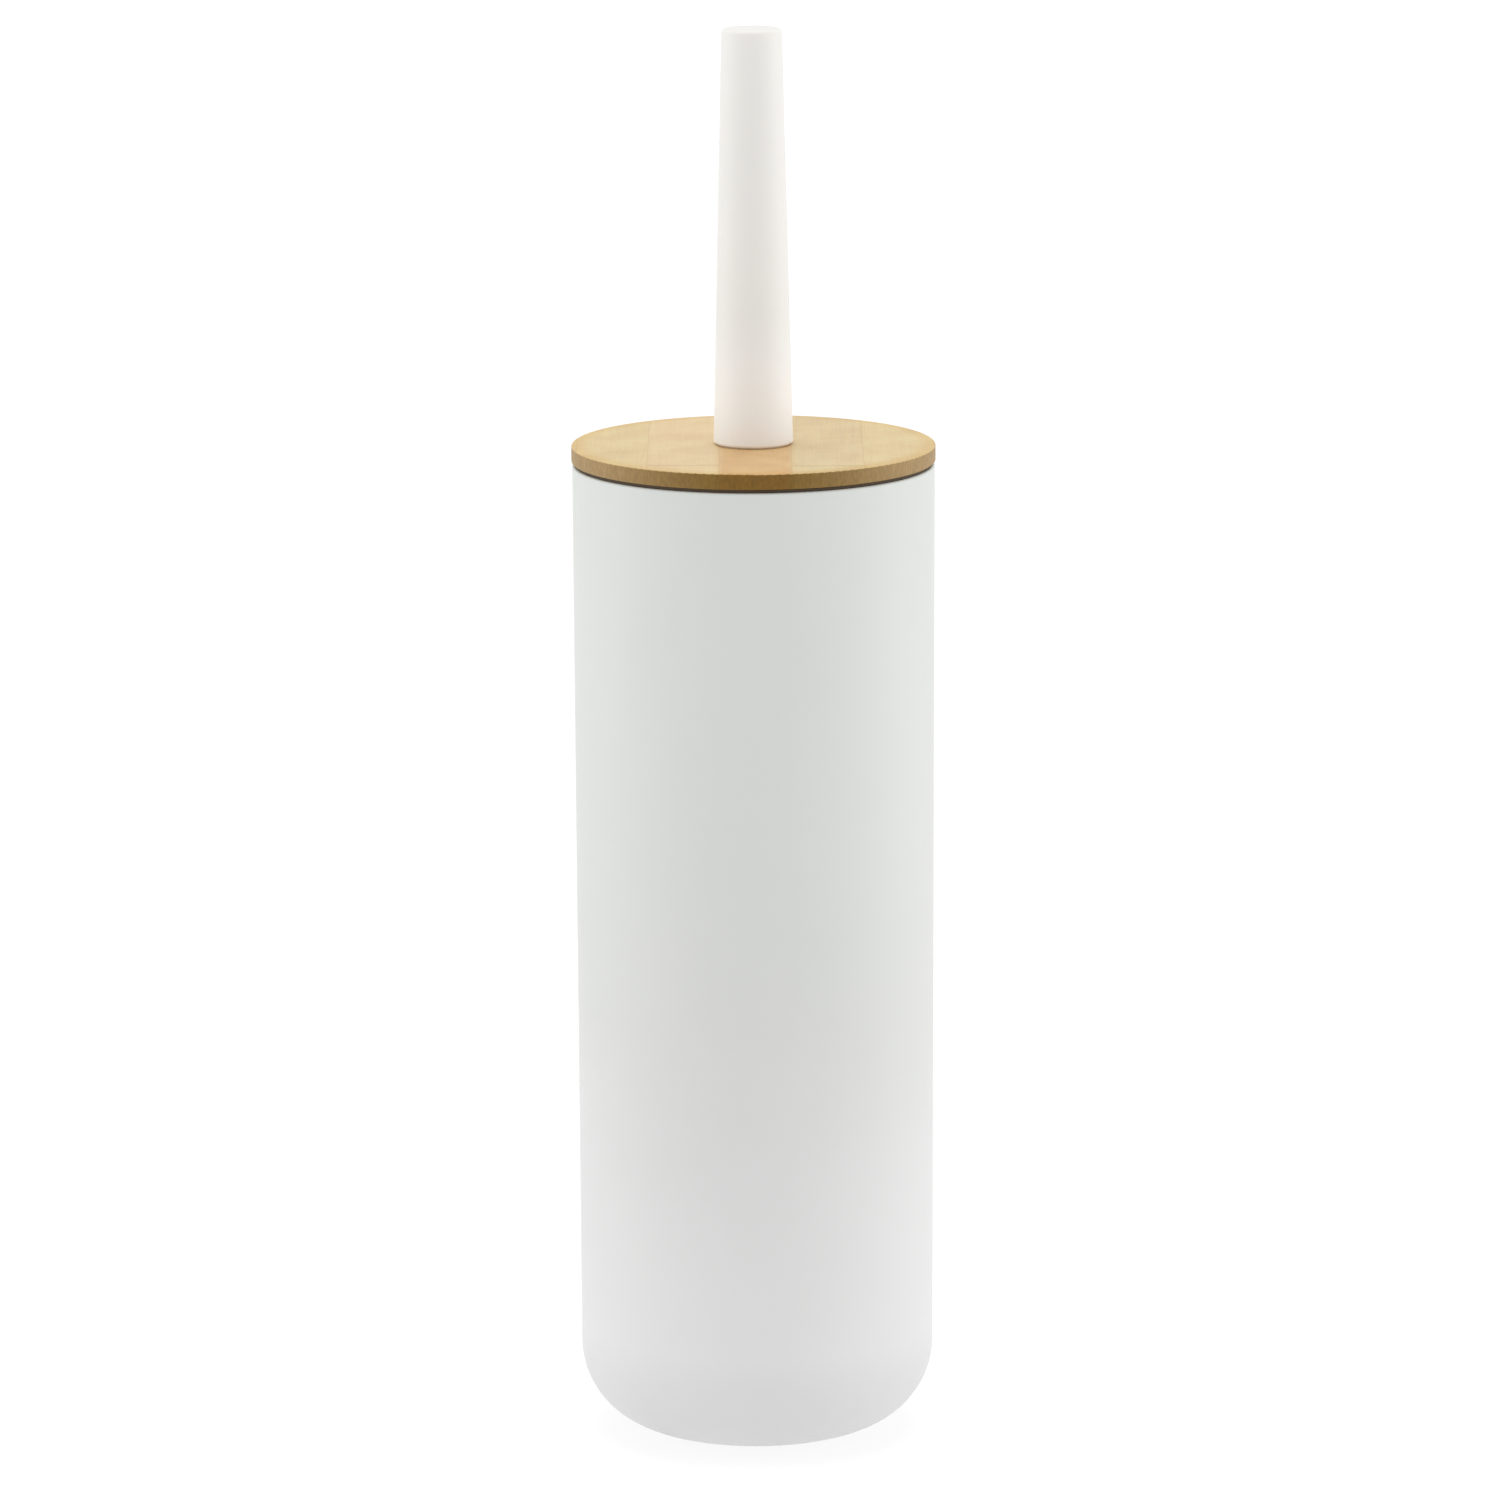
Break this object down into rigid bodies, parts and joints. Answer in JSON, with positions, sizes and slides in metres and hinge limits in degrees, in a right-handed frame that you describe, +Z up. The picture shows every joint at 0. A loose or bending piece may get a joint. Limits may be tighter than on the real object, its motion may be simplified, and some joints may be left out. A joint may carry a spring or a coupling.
{
  "type": "toilet brush and holder",
  "caption": "Slim white cylindrical toilet brush holder with a rounded base, a bamboo disc lid and a tapered white handle; the brush lifts out and its head unscrews.",
  "frame": {"origin": "on the holder's vertical axis, in the plane of the foot pads that it stands on", "axes": "+Z up along the axis of cup, stem and handle; the object is round, so X and Y are free: the foot pads stand on the diagonals between them"},
  "size_m": [0.1, 0.1, 0.3923],
  "materials": {
    "cup_plastic": "smooth matt white polypropylene moulding",
    "foot_rubber": "dull dark grey soft pad",
    "seal_rubber": "dull dark soft ring",
    "washer_silicone": "milky soft silicone, punched from sheet",
    "bamboo": "pale laminated bamboo, sanded and oiled",
    "collar_plastic": "matt white polypropylene moulding",
    "handle_plastic": "satin white polypropylene moulding",
    "insert_brass": "turned brass",
    "stud_steel": "zinc-plated steel thread",
    "stem_plastic": "white polypropylene, slightly glossy",
    "head_plastic": "white polypropylene moulding",
    "bristle_filament": "white crimped filament, slightly see-through",
    "anchor_wire": "flat steel anchor wire"
  },
  "bodies": {
    "holder": {"outer_cup": "cup_plastic", "foot_pad_1": "foot_rubber", "foot_pad_2": "foot_rubber", "foot_pad_3": "foot_rubber", "foot_pad_4": "foot_rubber"},
    "lid_seal": {"lid_seal_ring": "seal_rubber"},
    "brush": {"bamboo_lid": "bamboo", "lid_collar": "collar_plastic", "handle_shell": "handle_plastic", "handle_insert": "insert_brass", "handle_washer": "washer_silicone", "clamp_stud": "stud_steel", "stem_top_plug": "stem_plastic", "stem_tube": "stem_plastic", "stem_end_plug": "stem_plastic"},
    "head_gasket": {"head_washer": "seal_rubber"},
    "brush_head": {"head_core": "head_plastic", "bristle_row_01": "bristle_filament", "bristle_row_02": "bristle_filament", "bristle_row_03": "bristle_filament", "bristle_row_04": "bristle_filament", "bristle_row_05": "bristle_filament", "bristle_row_06": "bristle_filament", "bristle_row_07": "bristle_filament", "bristle_row_08": "bristle_filament", "bristle_row_09": "bristle_filament", "bristle_row_10": "bristle_filament", "crown_row_1": "bristle_filament", "crown_row_2": "bristle_filament", "crown_row_3": "bristle_filament", "crown_end_tuft": "bristle_filament", "tuft_anchors": "anchor_wire"}
  },
  "joints": [
    {"name": "brush_lift", "type": "slide", "parent": "holder", "child": "lid_seal", "axis": [0, 0, 1], "range_m": [0, 0.29]},
    {"name": "brush_turn", "type": "hinge", "parent": "lid_seal", "child": "brush", "pos_m": [0, 0, 0.2736], "axis": [0, 0, 1], "continuous": true},
    {"name": "head_travel", "type": "slide", "parent": "brush", "child": "head_gasket", "axis": [0, 0, -1], "range_m": [0, 0.0101]},
    {"name": "head_turn", "type": "hinge", "parent": "head_gasket", "child": "brush_head", "pos_m": [0, 0, 0.1267], "axis": [0, 0, -1], "range_deg": [0, 1440]}
  ],
  "couplings": [
    {"joint": "head_travel", "follows": "head_turn", "m_per_rad": 0.00039789}
  ]
}
